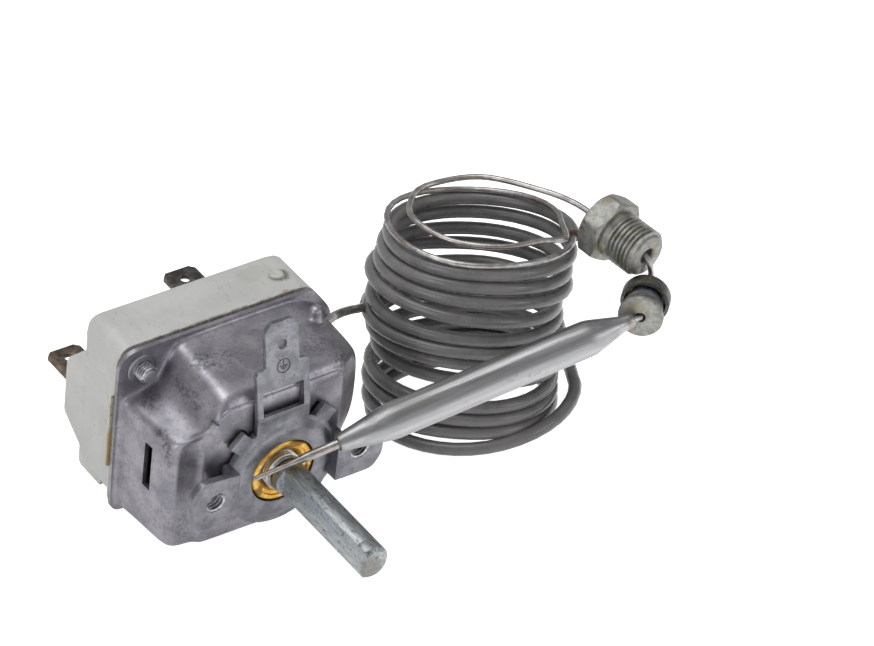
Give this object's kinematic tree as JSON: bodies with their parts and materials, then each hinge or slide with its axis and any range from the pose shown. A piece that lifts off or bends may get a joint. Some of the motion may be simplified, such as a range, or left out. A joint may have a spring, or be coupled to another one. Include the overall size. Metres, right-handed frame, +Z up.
{
  "type": "capillary thermostat",
  "caption": "Panel thermostat with a flatted control shaft, pressed metal casing on a ceramic base, blade terminals, and a coiled sleeved capillary with gland fitting and sensor bulb.",
  "frame": {"origin": "on the shaft's axis, level with the front faces of the two bracket ears: the middle between the two panel screws", "axes": "-Y out of the panel along the shaft, +Z up towards the earth tab, +X to the right seen from the front"},
  "size_m": [0.0898, 0.0686, 0.0472],
  "materials": {
    "zinc_plate": "dull mottled zinc plating with stains and bright bends",
    "bracket_zinc": "dull zinc plating with bright pressed edges",
    "shaft_steel": "turned steel with light scuffs",
    "bush_brass": "turned brass with dark tarnish",
    "ceramic": "smooth matte steatite ceramic with faint specks",
    "gasket_sheet": "pale mica sheet",
    "screw_steel": "bright zinc plated steel",
    "terminal_dark": "dark oxidised plated steel",
    "terminal_bronze": "brown oxidised brass",
    "contact_silver": "silver rivet",
    "spring_bronze": "rolled bronze strip",
    "capsule_steel": "pressed stainless steel",
    "capillary_steel": "drawn bare tube",
    "sleeve": "dark grey semi-gloss sleeve",
    "gland_zinc": "dull zinc plating with yellowish stains",
    "seal_dark": "dark moulded seal",
    "bulb_nickel": "satin drawn nickel-plated tube"
  },
  "bodies": {
    "housing": {"front_casing": "zinc_plate", "casing_stud": "screw_steel", "mounting_bracket": "bracket_zinc", "brass_bush": "bush_brass", "insulating_gasket": "gasket_sheet", "ceramic_base": "ceramic", "corner_screw_1": "screw_steel", "corner_screw_2": "screw_steel", "terminal_1": "terminal_dark", "terminal_2": "terminal_bronze", "fixed_contact": "contact_silver", "spring_carrier": "terminal_bronze", "capillary_lead": "capillary_steel", "sleeve_coil": "sleeve", "capillary_turn": "capillary_steel", "capillary_tail": "capillary_steel", "gland_body": "gland_zinc", "gland_flat_washer": "gland_zinc", "gland_seal": "seal_dark", "gland_cup_washer": "gland_zinc", "sensor_bulb": "bulb_nickel", "bulb_filling_tube": "bulb_nickel"},
    "shaft": {"control_shaft": "shaft_steel", "adjusting_spindle": "shaft_steel"},
    "capsule": {"diaphragm_capsule": "capsule_steel"},
    "pin": {"push_pin": "ceramic"},
    "contact": {"contact_spring": "spring_bronze", "moving_contact": "contact_silver"}
  },
  "joints": [
    {"name": "shaft_turn", "type": "hinge", "parent": "housing", "child": "shaft", "pos_m": [0, -0.01, 0], "axis": [0, -1, 0], "range_deg": [0, 285]},
    {"name": "capsule_advance", "type": "slide", "parent": "housing", "child": "capsule", "axis": [0, 1, 0], "range_m": [0, 0.0005937]},
    {"name": "pin_push", "type": "slide", "parent": "housing", "child": "pin", "axis": [0, 1, 0], "range_m": [0, 0.0005], "stiffness_N_per_m": 200},
    {"name": "contact_snap", "type": "hinge", "parent": "housing", "child": "contact", "pos_m": [-0.0125, 0.0254, 0], "axis": [0, 0, 1], "range_deg": [0, 2.5]}
  ],
  "couplings": [
    {"joint": "shaft_turn", "follows": "capsule_advance", "rad_per_m": 8377.6},
    {"joint": "contact_snap", "follows": "pin_push", "rad_per_m": 74}
  ]
}
